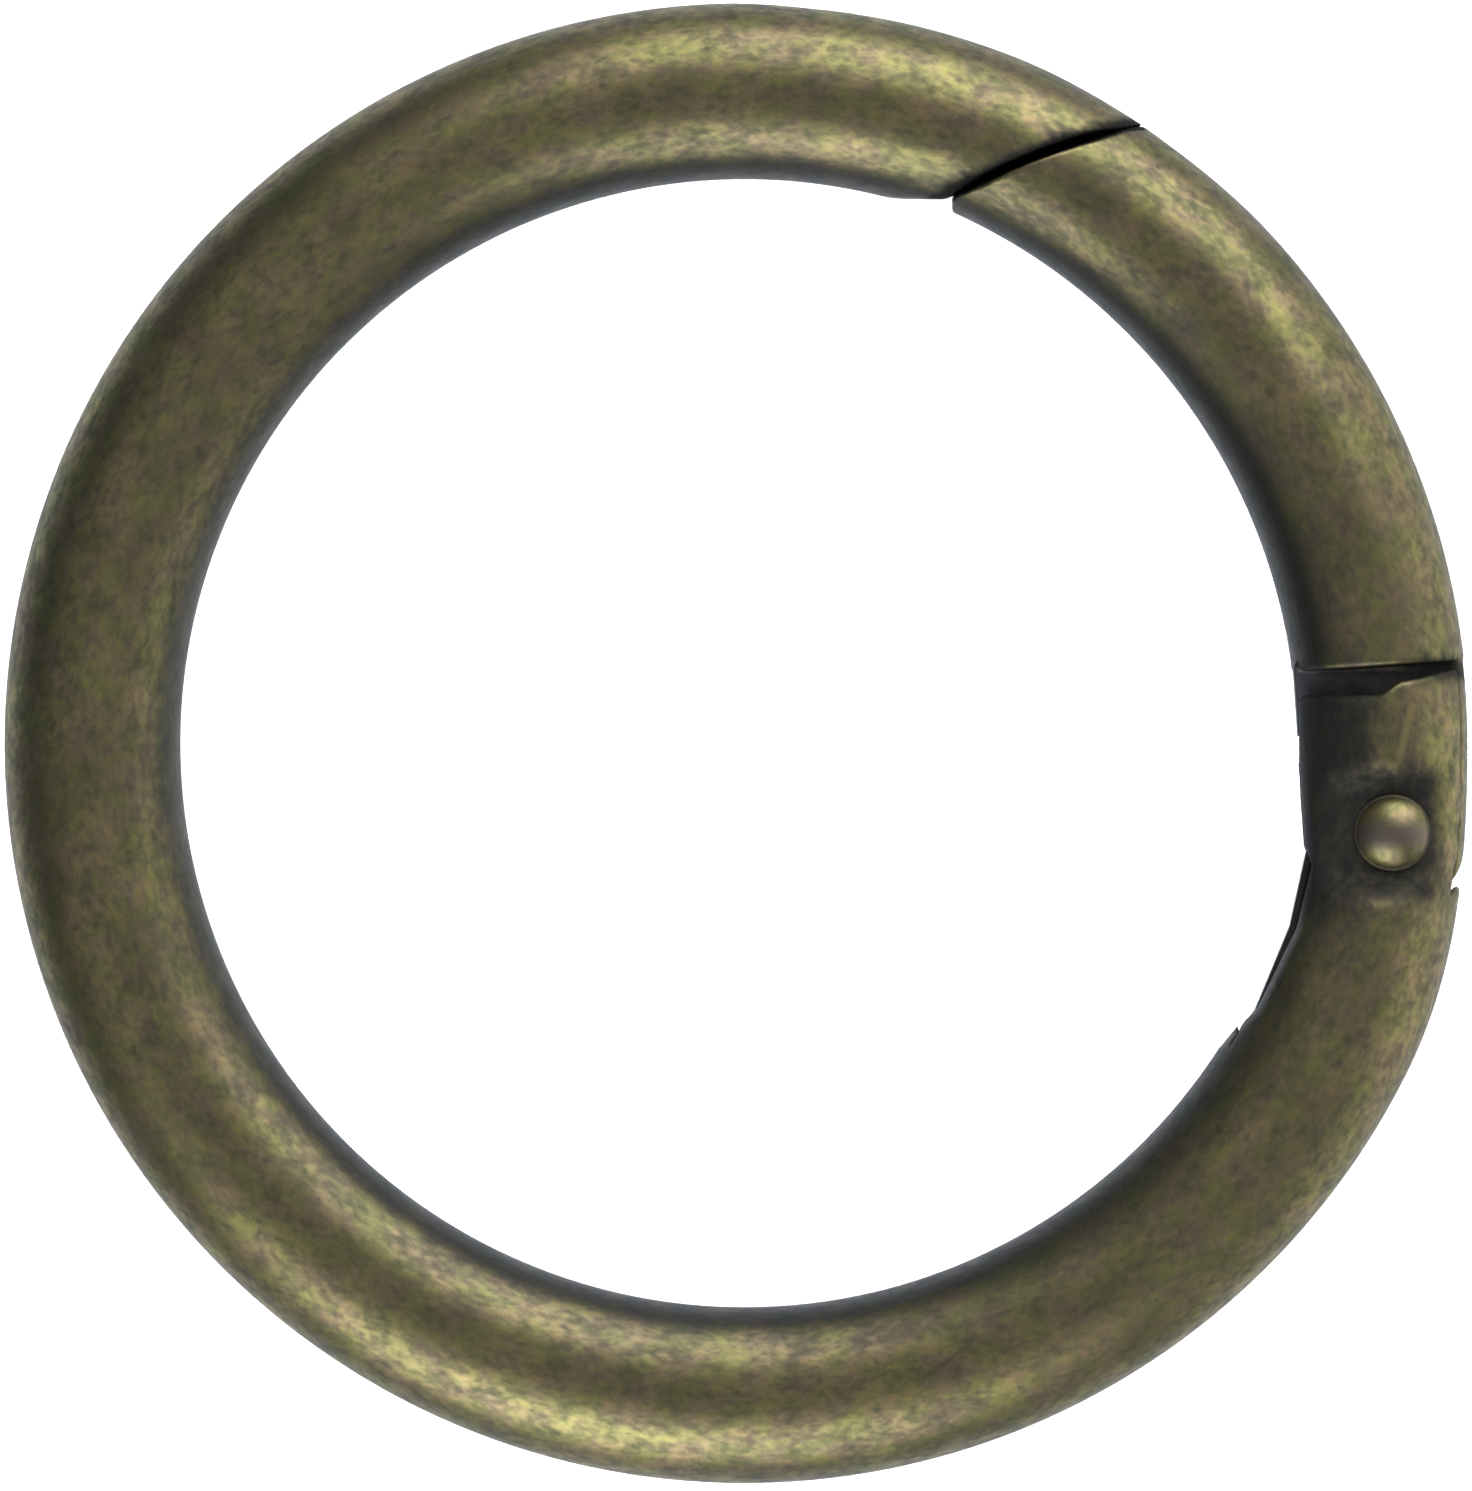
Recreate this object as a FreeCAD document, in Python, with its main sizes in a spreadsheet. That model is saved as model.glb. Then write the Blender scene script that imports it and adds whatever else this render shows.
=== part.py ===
import FreeCAD, Part
import Sketcher

# A round spring-gate ring (an O-ring carabiner), lying flat.
#
# Frame: the ring lies in the XY plane with the hinge on the +X side, +Z up, and the origin on the
# surface it lies on, under the centre of its eye. Each sub-part is drawn about the ring's
# mid-plane and lifted by half the stock's thickness.
#
# Pieces: the ring body (a C with a nose at one end and a fork at the other), the gate that closes
# it, the pin the gate turns on, and the leaf spring that shuts the gate.
import math
import os
import re

from FreeCAD import Placement, Rotation, Vector

DIMENSIONS = {
    # ring body
    "ring_rad": 22.025,        # centre of the ring to the middle of the stock
    "stock_rad": 2.975,
    "fork_inset": 0.57,        # how far the fork's middle lies inside the ring's circle
    "neck_from": -40.0,        # degrees round from +X: the neck is drawn from here
    "bend_from": -26.0,        # degrees round from +X: the stock starts to bend in
    "bend_to": 0.0,            # degrees round from +X: the bend ends
    "neck_to": 8.0,            # degrees round from +X: past the tops of the ears
    "slot_width": 2.2,
    "ear_top": 1.6,            # Y of the inner half of each ear's top
    "ear_top_to": 20.9,        # X where the inner half ends
    "ear_mid_x": 22.4,
    "ear_mid_y": 2.1,
    "ear_rise": 2.62,          # Y of each ear's top at the outside
    "ear_rise_x": 24.6,
    "spot_face": 2.2,          # height of the flats under the pin's heads, from the mid-plane
    "spot_low": -4.55,         # Y where each flat ends below the pin
    "spot_high": -1.55,        # Y where each flat ends above the pin
    "spot_slope": 0.65,        # run of the sloping end of each flat
    # nose and gate tip meet on one curved slanting face, which flares towards front and back
    "lap_x": 17.4,             # centre that the face is struck from
    "lap_y": 0.23,
    "lap_rad": 21.0,
    "lap_gap": 0.02,           # the even gap either side of the mid-plane
    "lap_flare": -0.1,         # the flaring gap, carried on to the mid-plane
    "lap_draft": 4.0,
    "lap_out_x": 14.2,         # X just outside the ring, where the face runs out
    "nose_flat": 18.39,        # Y of the small flat that blunts the nose
    "clearing_to": 45.0,       # degrees round from +X: the plain part of the opening ends
    # gate
    "gate_rad": 22.56,
    "gate_centre": -1.0,       # X of the centre that the gate's arc is struck from
    "gate_stock": 2.91,
    "gate_tip_x": 7.02,        # X of the blunt end of the gate's tip
    "shoulder_in_x": 18.0,
    "shoulder_in_y": 2.38,
    "shoulder_out_x": 25.0,
    "shoulder_out_y": 2.86,
    "tongue_width": 2.1,
    "tongue_out": 24.45,       # radius of the tongue's outer face, from the ring's centre
    "tongue_top": 4.6,         # Y inside the gate where the tongue's slab ends
    "tongue_top_in": 20.2,
    "tongue_top_out": 23.2,
    "tongue_out_y": 2.85,      # Y where the outer face goes in under the gate's skin
    "throat_x": 18.53,         # the face that closes the gap above the spring
    "throat_high": 2.6,
    "throat_foot_x": 18.69,
    "throat_foot_y": 0.2,
    "cam_length": 3.7,         # run of the flat above the foot of the pin's reach
    "tail_rad": 2.6,
    "tail_end": -32.2,         # degrees round the pin where the tail meets the outer face
    "tail_gap": 0.2,
    "cam_reach": 2.35,         # pin's axis to the flat that the spring bears on
    # pin
    "pivot_x": 21.85,
    "pivot_y": -3.02,
    "pin_rad": 1.0,
    "pin_play": 0.05,
    "head_rad": 1.3,
    "head_rise": 0.74,
    # leaf spring
    "leaf_width": 2.0,
    "leaf_thick": 0.3,
    "leaf_bend_x": 18.41,
    "leaf_bend_y": -6.19,
    "leaf_upper": 5.72,
    "leaf_lower": 4.5,
    "leaf_lean": 12.4,         # degrees the upper run leans from +Y
    "leaf_lower_lean": 22.5,
    "leaf_clear": 0.12,
    "slit_clear": 0.25,
    # the relief that the leaf lies in
    "relief_depth": 0.22,      # how far the cheeks are cut back past the leaf's inner face
    "relief_start_x": 18.53,
    "relief_start_y": 1.9,
    "relief_top_x": 18.92,
    "relief_top_y": -3.45,
    "relief_step_x": 19.24,
    "relief_step_y": -4.1,
    "relief_foot_x": 17.28,
    "relief_foot_y": -8.95,
    "relief_exit_x": 16.05,
    "relief_exit_y": -10.06,
    # finish
    "edge_round": 0.18,
}
NECK_SECTIONS = 12
BEYOND = 30.0                  # clear of the whole ring
WITHIN = 10.0                  # well inside the eye
NEAR = 0.02                    # how closely an edge is told from its neighbours
LAP_CUTS = [("Even", "lap_gap", None), ("Flare", "lap_flare", "lap_draft")]

doc = FreeCAD.newDocument("SpringGateRing")
sheet = doc.addObject("Spreadsheet::Sheet", "Dims")
for row, (alias, value) in enumerate(DIMENSIONS.items(), start=1):
    sheet.set(f"A{row}", alias)
    sheet.set(f"B{row}", str(value))
    sheet.setAlias(f"B{row}", alias)
doc.recompute()

ALIAS = re.compile(r"\b(" + "|".join(DIMENSIONS) + r")\b")


def bound(text):
    """Turn a formula written with the sheet's words into an expression on the sheet."""
    return ALIAS.sub(r"Dims.\1", str(text))


def worth(text):
    """The number that a formula comes to now."""
    return float(sheet.evalExpression(ALIAS.sub(r"\1", str(text))))


def new_body(label):
    """An empty body, lifted so that the ring lies on Z = 0."""
    body = doc.addObject("PartDesign::Body", label)
    body.Label = label
    body.setExpression("Placement.Base.z", bound("stock_rad"))
    return body


def new_sketch(body, name, role="XY_Plane", turn=0.0):
    """A sketch on one of the body's own origin planes, turned about the ring's axis."""
    plane = next(f for f in body.Origin.OriginFeatures if f.Role == role)
    sketch = body.newObject("Sketcher::SketchObject", name)
    sketch.AttachmentSupport = [(plane, "")]
    sketch.MapMode = "FlatFace"
    sketch.AttachmentOffset = Placement(Vector(), Rotation(Vector(0, 1, 0), turn))
    return sketch


def pin(sketch, kind, items, formula):
    """Add one dimension to a sketch and bind it to the sheet."""
    number = sketch.addConstraint(Sketcher.Constraint(kind, *items, worth(formula)))
    sketch.setExpression(f"Constraints[{number}]", bound(formula))


def add_circle(sketch, centre, radius):
    """A circle with its centre and radius bound to the sheet."""
    middle = Vector(worth(centre[0]), worth(centre[1]), 0)
    index = sketch.addGeometry(Part.Circle(middle, Vector(0, 0, 1), worth(radius)), False)
    pin(sketch, "DistanceX", (index, 3), centre[0])
    pin(sketch, "DistanceY", (index, 3), centre[1])
    pin(sketch, "Radius", (index,), radius)
    return index


def arc_between(start, end, radius):
    """An arc from start to end: a positive radius turns left on the way, a negative one right."""
    chord = end - start
    left = Vector(-chord.y, chord.x, 0).normalize()
    depth = math.sqrt(radius ** 2 - (chord.Length / 2) ** 2)
    side = 1 if radius > 0 else -1
    centre = (start + end) / 2 + left * depth * side
    crown = centre - left * abs(radius) * side
    return Part.Arc(start, crown, end)


def add_outline(sketch, corners, arcs=None):
    """A closed outline through the corners. arcs gives the radius of a side that is curved."""
    arcs = arcs or {}
    points = [Vector(worth(x), worth(y), 0) for x, y in corners]
    count = len(points)
    ends = []
    for k in range(count):
        start, end = points[k], points[(k + 1) % count]
        if k in arcs:
            turn = worth(arcs[k])
            index = sketch.addGeometry(arc_between(start, end, turn), False)
            ends.append((index, 1, 2) if turn > 0 else (index, 2, 1))
        else:
            index = sketch.addGeometry(Part.LineSegment(start, end), False)
            ends.append((index, 1, 2))
    for k in range(count):
        index, first, last = ends[k]
        following, its_first, _ = ends[(k + 1) % count]
        sketch.addConstraint(Sketcher.Constraint("Coincident", index, last, following, its_first))
        pin(sketch, "DistanceX", (index, first), corners[k][0])
        pin(sketch, "DistanceY", (index, first), corners[k][1])
        if k in arcs:
            pin(sketch, "Radius", (index,), f"abs({arcs[k]})")


def revolve(body, sketch, name, axis):
    """A full turn of the sketch about one of its own axes."""
    turned = body.newObject("PartDesign::Revolution", name)
    turned.Profile = sketch
    turned.ReferenceAxis = (sketch, [axis])
    turned.Angle = 360
    doc.recompute()
    return turned


def prism(body, sketch, name, kind, width, one_way=False, draft=None):
    """A pad or pocket that reaches half its width to each side of the sketch, or one way only."""
    before = body.Shape.Volume if not body.Shape.isNull() else 0.0
    feature = body.newObject(f"PartDesign::{kind}", name)
    feature.Profile = sketch
    feature.Type = "Length"
    feature.SideType = "One side" if one_way else "Symmetric"
    feature.Reversed = one_way
    feature.setExpression("Length", bound(width))
    if draft:
        feature.setExpression("TaperAngle", bound(draft))
    doc.recompute()
    change = body.Shape.Volume - before
    if (change <= 0) == (kind == "Pad"):
        raise RuntimeError(f"{name} changed the volume by {change:.3f}")
    return feature


def soften(body, base, name, chosen, radius):
    """Round the edges of the base feature that the test chooses."""
    names = [f"Edge{k}" for k, edge in enumerate(base.Shape.Edges, start=1) if chosen(edge)]
    if not names:
        raise RuntimeError(f"{name} found no edge")
    fillet = body.newObject("PartDesign::Fillet", name)
    fillet.Base = (base, names)
    fillet.setExpression("Radius", bound(radius))
    doc.recompute()
    return fillet


def middle_of(edge):
    """The point half-way along an edge."""
    return edge.valueAt((edge.FirstParameter + edge.LastParameter) / 2)


def curved(edge):
    """Whether an edge is anything but straight."""
    return not isinstance(edge.Curve, (Part.Line, Part.LineSegment))


def leaf_point(run, lean, down=False, out="0"):
    """A point on the leaf's inner face, run along it from the bend and moved out through it."""
    sign = "-" if down else "+"
    return (f"leaf_bend_x {sign} ({run}) * sin({lean}) + ({out}) * cos({lean})",
            f"leaf_bend_y {sign} ({run}) * cos({lean}) - ({out}) * sin({lean})")


def leaf_bend(out):
    """The bend of the leaf, moved out from its inner face."""
    half = "(leaf_lean + leaf_lower_lean) / 2"
    reach = f"({out}) / cos((leaf_lower_lean - leaf_lean) / 2)"
    return (f"leaf_bend_x + {reach} * cos({half})", f"leaf_bend_y - {reach} * sin({half})")


def lap_height(radius, x="lap_out_x"):
    """Y of the slanting lap face at the given X."""
    return f"lap_y + sqrt({radius} * {radius} - (lap_x - {x}) * (lap_x - {x}))"


def make_ring_body():
    """The C-shaped body, from the nose round to the fork."""
    body = new_body("ring_body")
    stock = new_sketch(body, "StockSection", "XZ_Plane")
    add_circle(stock, ("ring_rad", "0"), "stock_rad")
    revolve(body, stock, "Stock", "V_Axis")

    # The opening: a plain sector, then the slanting face of the nose with its blunting flat.
    sector = new_sketch(body, "SectorOutline")
    add_outline(sector, [
        (f"{WITHIN} * cos(neck_from)", f"{WITHIN} * sin(neck_from)"),
        (f"{BEYOND} * cos(neck_from)", f"{BEYOND} * sin(neck_from)"),
        (f"2 * {BEYOND}", "0"),
        (f"{BEYOND} * cos(clearing_to)", f"{BEYOND} * sin(clearing_to)"),
        (f"{WITHIN} * cos(clearing_to)", f"{WITHIN} * sin(clearing_to)"),
    ])
    prism(body, sector, "Sector", "Pocket", "4 * stock_rad")
    reach = "(nose_flat - lap_y)"
    for name, gap, draft in LAP_CUTS:
        nose = new_sketch(body, f"Nose{name}Outline")
        face = f"(lap_rad + {gap} / 2)"
        add_outline(nose, [
            ("0", "nose_flat"),
            (f"lap_x - sqrt({face} * {face} - {reach} * {reach})", "nose_flat"),
            ("lap_out_x", lap_height(face)),
            (str(BEYOND), lap_height(face)),
            (str(BEYOND), str(WITHIN)),
            ("0", str(WITHIN)),
        ], arcs={1: f"-{face}"})
        prism(body, nose, f"Nose{name}", "Pocket", "4 * stock_rad", draft=draft)

    # The neck: round sections that move in from the ring's circle to the fork's.
    sections = []
    for k in range(NECK_SECTIONS + 1):
        share = k / NECK_SECTIONS
        turn = worth("neck_from") * (1 - share) + worth("neck_to") * share
        bend = (turn - worth("bend_from")) / (worth("bend_to") - worth("bend_from"))
        bend = min(1.0, max(0.0, bend))
        ease = bend * bend * (3 - 2 * bend)
        section = new_sketch(body, f"NeckSection{k}", "XZ_Plane", turn)
        add_circle(section, (f"ring_rad - fork_inset * {ease:.6f}", "0"), "stock_rad")
        sections.append(section)
    doc.recompute()
    neck = body.newObject("PartDesign::AdditiveLoft", "Neck")
    neck.Profile = sections[0]
    neck.Sections = sections[1:]
    doc.recompute()

    # The tops of the ears: relieved on the inner half, so the gate's shoulder can swing in.
    tops = new_sketch(body, "EarTops")
    add_outline(tops, [
        (str(WITHIN), "ear_top"),
        ("ear_top_to", "ear_top"),
        ("ear_mid_x", "ear_mid_y"),
        ("ear_rise_x", "ear_rise"),
        (str(BEYOND), "ear_rise"),
        (str(BEYOND), str(WITHIN)),
        (str(WITHIN), str(WITHIN)),
    ])
    prism(body, tops, "EarTopsCut", "Pocket", "4 * stock_rad")

    # The slot for the gate's tongue, with a round floor about the pin.
    slot = new_sketch(body, "SlotOutline")
    reach = "(tail_rad + tail_gap)"
    add_outline(slot, [
        (str(WITHIN), "pivot_y"),
        (f"pivot_x - {reach}", "pivot_y"),
        ("pivot_x", f"pivot_y - {reach}"),
        (f"pivot_x + {reach}", "pivot_y"),
        (str(BEYOND), "pivot_y"),
        (str(BEYOND), str(WITHIN)),
        (str(WITHIN), str(WITHIN)),
    ], arcs={1: reach, 2: reach})
    prism(body, slot, "Slot", "Pocket", "slot_width")

    # The relief on the inner side, where the leaf lies, and the slit that holds its lower end.
    relief = new_sketch(body, "ReliefOutline")
    add_outline(relief, [
        (str(WITHIN), "relief_start_y"),
        ("relief_start_x", "relief_start_y"),
        ("relief_top_x", "relief_top_y"),
        ("relief_step_x", "relief_step_y"),
        leaf_bend("relief_depth"),
        ("relief_foot_x", "relief_foot_y"),
        ("relief_exit_x", "relief_exit_y"),
        (str(WITHIN), "relief_step_y"),
    ])
    prism(body, relief, "Relief", "Pocket", "4 * stock_rad")
    groove = new_sketch(body, "LeafGroove")
    out = "leaf_thick + leaf_clear"
    inside = "-slit_clear"
    add_outline(groove, [
        leaf_point("leaf_upper", "leaf_lean", out=out),
        leaf_bend(out),
        leaf_point("leaf_lower + leaf_clear", "leaf_lower_lean", True, out),
        leaf_point("leaf_lower + leaf_clear", "leaf_lower_lean", True, inside),
        leaf_bend(inside),
        leaf_point("leaf_upper", "leaf_lean", out=inside),
    ])
    prism(body, groove, "LeafGrooveCut", "Pocket", "slot_width")

    # Flats under the pin's heads, with sloping ends, on both ears.
    flats = new_sketch(body, "SpotFaces", "YZ_Plane")
    for side in ("", "-"):
        add_outline(flats, [
            ("spot_low", f"{side}spot_face"),
            ("spot_high", f"{side}spot_face"),
            ("spot_high + spot_slope", f"{side}stock_rad"),
            ("spot_low - spot_slope", f"{side}stock_rad"),
        ])
    prism(body, flats, "SpotFacesCut", "Pocket", str(BEYOND), one_way=True)
    hole = new_sketch(body, "PinHole")
    add_circle(hole, ("pivot_x", "pivot_y"), "pin_rad")
    holes = prism(body, hole, "PinHoles", "Pocket", "4 * stock_rad")

    # Cast edges are soft: the outer rims of the ears' tops.
    slot_side = worth("slot_width") / 2 + NEAR
    low = worth("ear_top") - NEAR

    def on_ear_rim(edge):
        middle = middle_of(edge)
        return curved(edge) and middle.y > low and middle.x > WITHIN and abs(middle.z) > slot_side

    soften(body, holes, "EarRims", on_ear_rim, "edge_round")
    return body


def make_gate():
    """The curved gate, with a tongue that the pin passes through."""
    body = new_body("gate")
    stock = new_sketch(body, "GateSection", "XZ_Plane")
    add_circle(stock, ("gate_centre + gate_rad", "0"), "gate_stock")
    axis = stock.addGeometry(Part.LineSegment(Vector(worth("gate_centre"), -5, 0),
                                              Vector(worth("gate_centre"), 5, 0)), True)
    pin(stock, "DistanceX", (axis, 1), "gate_centre")
    pin(stock, "DistanceX", (axis, 2), "gate_centre")
    pin(stock, "DistanceY", (axis, 1), "-5")
    pin(stock, "DistanceY", (axis, 2), "5")
    revolve(body, stock, "GateStock", "Axis0")

    # All but the gate's own arc: below the shoulder, beyond the blunt end, and above the lap face.
    below = new_sketch(body, "ShoulderOutline")
    add_outline(below, [
        (str(-BEYOND), str(-BEYOND)),
        (str(BEYOND), str(-BEYOND)),
        (str(BEYOND), "shoulder_out_y"),
        ("shoulder_out_x", "shoulder_out_y"),
        ("shoulder_in_x", "shoulder_in_y"),
        ("gate_tip_x", "shoulder_in_y"),
        ("gate_tip_x", str(BEYOND)),
        (str(-BEYOND), str(BEYOND)),
    ])
    prism(body, below, "ShoulderCut", "Pocket", "4 * stock_rad")
    for name, gap, draft in LAP_CUTS:
        tip = new_sketch(body, f"Tip{name}Outline")
        face = f"(lap_rad - {gap} / 2)"
        add_outline(tip, [
            ("0", lap_height(face, "gate_tip_x")),
            ("gate_tip_x", lap_height(face, "gate_tip_x")),
            ("lap_out_x", lap_height(face)),
            (str(BEYOND), lap_height(face)),
            (str(BEYOND), str(BEYOND)),
            ("0", str(BEYOND)),
        ], arcs={1: f"-{face}"})
        prism(body, tip, f"Tip{name}", "Pocket", "4 * stock_rad", draft=draft)

    # The tongue: its inner side is the flat that the leaf spring bears on.
    tongue = new_sketch(body, "TongueOutline")
    lean = "leaf_lean"
    flat_x, flat_y = (f"pivot_x - cam_reach * cos({lean})", f"pivot_y + cam_reach * sin({lean})")
    fall = "sqrt(tail_rad * tail_rad - cam_reach * cam_reach)"
    add_outline(tongue, [
        (f"{flat_x} - {fall} * sin({lean})", f"{flat_y} - {fall} * cos({lean})"),
        ("pivot_x + tail_rad * cos(tail_end)", "pivot_y + tail_rad * sin(tail_end)"),
        ("sqrt(tongue_out * tongue_out - tongue_out_y * tongue_out_y)", "tongue_out_y"),
        ("tongue_top_out", "tongue_top"),
        ("tongue_top_in", "tongue_top"),
        ("throat_x", "throat_high"),
        ("throat_foot_x", "throat_foot_y"),
        (f"{flat_x} + cam_length * sin({lean})", f"{flat_y} + cam_length * cos({lean})"),
    ], arcs={0: "tail_rad", 1: "tongue_out"})
    prism(body, tongue, "Tongue", "Pad", "tongue_width")
    bore = new_sketch(body, "TongueBore")
    add_circle(bore, ("pivot_x", "pivot_y"), "pin_rad + pin_play")
    bored = prism(body, bore, "TongueBoreCut", "Pocket", "4 * stock_rad")

    # Cast edges are soft: the outer face of the tongue.
    side = worth("tongue_width") / 2
    outer = worth("tongue_out")

    def on_tongue_rim(edge):
        middle = middle_of(edge)
        return (curved(edge) and abs(abs(middle.z) - side) < NEAR and middle.y < worth("ear_top")
                and abs(math.hypot(middle.x, middle.y) - outer) < NEAR)

    soften(body, bored, "TongueRims", on_tongue_rim, "edge_round")
    return body


def make_rivet():
    """The headed pin, with a shallow dome at each end."""
    body = new_body("rivet")
    body.setExpression("Placement.Base.x", bound("pivot_x"))
    body.setExpression("Placement.Base.y", bound("pivot_y"))
    profile = new_sketch(body, "RivetProfile", "XZ_Plane")
    dome = "((head_rad * head_rad + head_rise * head_rise) / (2 * head_rise))"
    add_outline(profile, [
        ("0", "-(spot_face + head_rise)"),
        ("head_rad", "-spot_face"),
        ("pin_rad", "-spot_face"),
        ("pin_rad", "spot_face"),
        ("head_rad", "spot_face"),
        ("0", "spot_face + head_rise"),
    ], arcs={0: dome, 4: dome})
    revolve(body, profile, "Rivet", "V_Axis")
    return body


def make_leaf_spring():
    """The bent strip that pushes on the tongue above the pin."""
    body = new_body("leaf_spring")
    strip = new_sketch(body, "LeafOutline")
    add_outline(strip, [
        leaf_point("leaf_upper", "leaf_lean"),
        leaf_bend("0"),
        leaf_point("leaf_lower", "leaf_lower_lean", True),
        leaf_point("leaf_lower", "leaf_lower_lean", True, "leaf_thick"),
        leaf_bend("leaf_thick"),
        leaf_point("leaf_upper", "leaf_lean", out="leaf_thick"),
    ])
    prism(body, strip, "Leaf", "Pad", "leaf_width")
    return body


parts = [make_ring_body(), make_gate(), make_rivet(), make_leaf_spring()]
doc.recompute()
for thing in doc.Objects:
    if {"Invalid", "Error"} & set(thing.State):
        raise RuntimeError(f"{thing.Name} failed: {thing.State}")
os.makedirs("parts", exist_ok=True)
for part in parts:
    shape = part.Shape
    if shape.isNull() or not shape.isValid() or len(shape.Solids) != 1:
        raise RuntimeError(f"{part.Label} has no sound solid")
    box = shape.optimalBoundingBox()
    print(f"{part.Label}: {shape.Volume:.2f} mm3, X {box.XMin:.2f}..{box.XMax:.2f}, "
          f"Y {box.YMin:.2f}..{box.YMax:.2f}, Z {box.ZMin:.2f}..{box.ZMax:.2f}")
for part in parts:
    part.Shape.exportStep(f"parts/{part.Label}.step")
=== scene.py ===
import functools
import math

import bpy
import numpy as np
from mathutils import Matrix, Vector


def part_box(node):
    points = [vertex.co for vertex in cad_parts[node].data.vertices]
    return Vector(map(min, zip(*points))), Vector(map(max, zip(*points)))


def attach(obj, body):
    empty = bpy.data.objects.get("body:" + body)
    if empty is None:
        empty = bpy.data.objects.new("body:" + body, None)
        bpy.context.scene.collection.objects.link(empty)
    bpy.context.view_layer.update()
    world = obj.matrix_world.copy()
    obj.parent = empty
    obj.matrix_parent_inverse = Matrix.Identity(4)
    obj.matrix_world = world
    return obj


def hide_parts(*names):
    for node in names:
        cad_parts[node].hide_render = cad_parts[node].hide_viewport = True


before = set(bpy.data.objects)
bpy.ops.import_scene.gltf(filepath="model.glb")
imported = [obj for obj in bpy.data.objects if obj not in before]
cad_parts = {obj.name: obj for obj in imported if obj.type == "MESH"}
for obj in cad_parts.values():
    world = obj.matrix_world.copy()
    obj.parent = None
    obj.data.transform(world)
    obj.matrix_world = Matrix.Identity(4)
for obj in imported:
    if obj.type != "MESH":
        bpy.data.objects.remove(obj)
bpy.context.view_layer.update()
MM = 0.001

STOCK_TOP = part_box("ring_body")[1][2]
MID_Z = STOCK_TOP / 2


# ---------------------------------------------------------------- node helpers

def new_tree(name):
    """A material with an empty node tree."""
    material = bpy.data.materials.new(name)
    material.use_nodes = True
    tree = material.node_tree
    tree.nodes.clear()
    return material, tree


def node(tree, kind, inputs=None, **settings):
    """Add a shader node, set its properties and fill or link its inputs."""
    made = tree.nodes.new(kind)
    for key, value in settings.items():
        setattr(made, key, value)
    for key, value in (inputs or {}).items():
        if isinstance(value, bpy.types.NodeSocket):
            tree.links.new(value, made.inputs[key])
        else:
            made.inputs[key].default_value = value
    return made


def noise(tree, where, scale, detail=4.0, rough=0.6, squeeze=(1, 1, 1), offset=(0, 0, 0)):
    """Noise of a given scale in features per millimetre, from 0 to 1."""
    per_metre = [scale * 1000 * s for s in squeeze]
    placed = node(tree, "ShaderNodeMapping", {"Vector": where, "Scale": per_metre, "Location": offset})
    made = node(tree, "ShaderNodeTexNoise", {"Vector": placed.outputs[0], "Scale": 1.0, "Detail": detail,
                                             "Roughness": rough})
    return made.outputs["Fac"]


def spread(tree, value, low, high, to_low=0.0, to_high=1.0, smooth=True):
    """Map a range of a value on to another range."""
    kind = "SMOOTHSTEP" if smooth else "LINEAR"
    return node(tree, "ShaderNodeMapRange",
                {"Value": value, "From Min": low, "From Max": high, "To Min": to_low, "To Max": to_high},
                interpolation_type=kind).outputs[0]


def sums(tree, operation, first, second):
    """Arithmetic on two values."""
    return node(tree, "ShaderNodeMath", {0: first, 1: second}, operation=operation).outputs[0]


def product(tree, *values):
    """All the values multiplied together."""
    return functools.reduce(lambda first, second: sums(tree, "MULTIPLY", first, second), values)


def greatest(tree, *values):
    """The greatest of the values."""
    return functools.reduce(lambda first, second: sums(tree, "MAXIMUM", first, second), values)


def fall(tree, value, low, high, top=1.0):
    """The top share below the range, falling to 0 above it."""
    return spread(tree, value, low, high, top, 0.0)


def within(tree, value, borders):
    """1 between two soft borders, falling to 0 outside them."""
    rising, falling = borders
    return sums(tree, "MULTIPLY", spread(tree, value, *rising), fall(tree, value, *falling))


def away_from(tree, value, centre):
    """How far a value lies to either side of a centre."""
    return sums(tree, "ABSOLUTE", sums(tree, "SUBTRACT", value, centre), 0)


def in_mm(tree, where):
    """X, Y and Z in millimetres."""
    axes = node(tree, "ShaderNodeSeparateXYZ", {0: where})
    return [sums(tree, "MULTIPLY", axis, 1 / MM) for axis in axes.outputs]


def mixed(tree, share, first, second, blend="MIX"):
    """Mix two colours."""
    made = node(tree, "ShaderNodeMix", data_type="RGBA", blend_type=blend)
    for socket, value in (("Factor_Float", share), ("A_Color", first), ("B_Color", second)):
        target = next(s for s in made.inputs if s.identifier == socket)
        if isinstance(value, bpy.types.NodeSocket):
            tree.links.new(value, target)
        else:
            target.default_value = value
    return next(s for s in made.outputs if s.identifier == "Result_Color")


# ---------------------------------------------------------------- shapes, in millimetres

# The ring lies about its mid-plane here, and is lifted on to the table when a mesh is made.
RING_RAD = 22.025
STOCK_RAD = MID_Z / MM
FORK_INSET = 0.57              # how far the fork's middle lies inside the ring's circle
BEND_FROM, BEND_TO = math.radians(-26), 0.0  # where the stock bends in to the fork
FORK_END = 0.7                 # radians: between the fork and the nose
WITHIN = 10.0                  # well inside the eye
ASIDE = 15.0                   # the hinge's cuts keep past this X, and the lap's past this Y

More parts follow.
